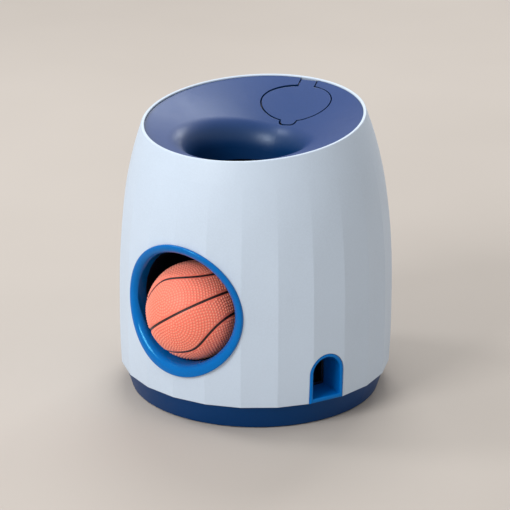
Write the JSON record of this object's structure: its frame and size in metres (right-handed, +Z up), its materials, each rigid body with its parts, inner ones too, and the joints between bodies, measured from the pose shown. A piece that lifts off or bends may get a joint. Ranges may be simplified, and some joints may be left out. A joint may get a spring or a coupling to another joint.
{
  "type": "dog puzzle toy",
  "caption": "Round faceted dog toy: a ball dropped in the sloping funnel trips a lever inside, rolls out of a round outlet and lets treats out of an arched one.",
  "frame": {"origin": "centre of the footprint, on the floor", "axes": "+Z up, -Y towards the side that the ball comes out of, +X towards the side that the treats come out of"},
  "size_m": [0.1698, 0.1799, 0.1814],
  "materials": {
    "shell_plastic": "satin light blue-grey",
    "navy_plastic": "satin navy",
    "outlet_blue": "glossy mid blue",
    "grey_plastic": "satin grey",
    "bearing_plastic": "natural white",
    "steel": "zinc plated",
    "black_rubber": "matte black",
    "ball_rubber": "matte coral orange with dark seams"
  },
  "bodies": {
    "housing": {"outer_shell": "shell_plastic", "base_tray": "navy_plastic", "anti_slip_ring": "black_rubber", "funnel": "navy_plastic", "lid_hinge_pin": "steel", "treat_hopper": "navy_plastic", "ball_duct": "navy_plastic", "ball_outlet_ring": "outlet_blue", "treat_outlet_frame": "outlet_blue", "treat_chute": "navy_plastic", "left_bush": "bearing_plastic", "right_bush": "bearing_plastic", "return_spring": "steel", "mechanism_frame": "grey_plastic", "base_screws": "steel", "frame_screws": "steel", "hopper_screws": "steel"},
    "lid": {"treat_lid": "navy_plastic"},
    "trigger": {"dosing_drum": "grey_plastic", "trigger_paddle": "outlet_blue", "trigger_axle": "steel", "axle_clips": "steel"},
    "ball": {"ball": "ball_rubber"}
  },
  "joints": [
    {"name": "lid_hinge", "type": "hinge", "parent": "housing", "child": "lid", "pos_m": [-0.0015, 0.06097, 0.17694], "axis": [-0.9877, -0.1564, 0], "range_deg": [0, 85]},
    {"name": "trigger_hinge", "type": "hinge", "parent": "housing", "child": "trigger", "pos_m": [0, 0.044, 0.096], "axis": [1, 0, 0], "range_deg": [0, 80], "stiffness_Nm_per_rad": 0.005, "springref_deg": -28.65},
    {"name": "ball_roll_out", "type": "slide", "parent": "housing", "child": "ball", "axis": [0, -0.9397, 0.342], "range_m": [0, 0.095]}
  ]
}
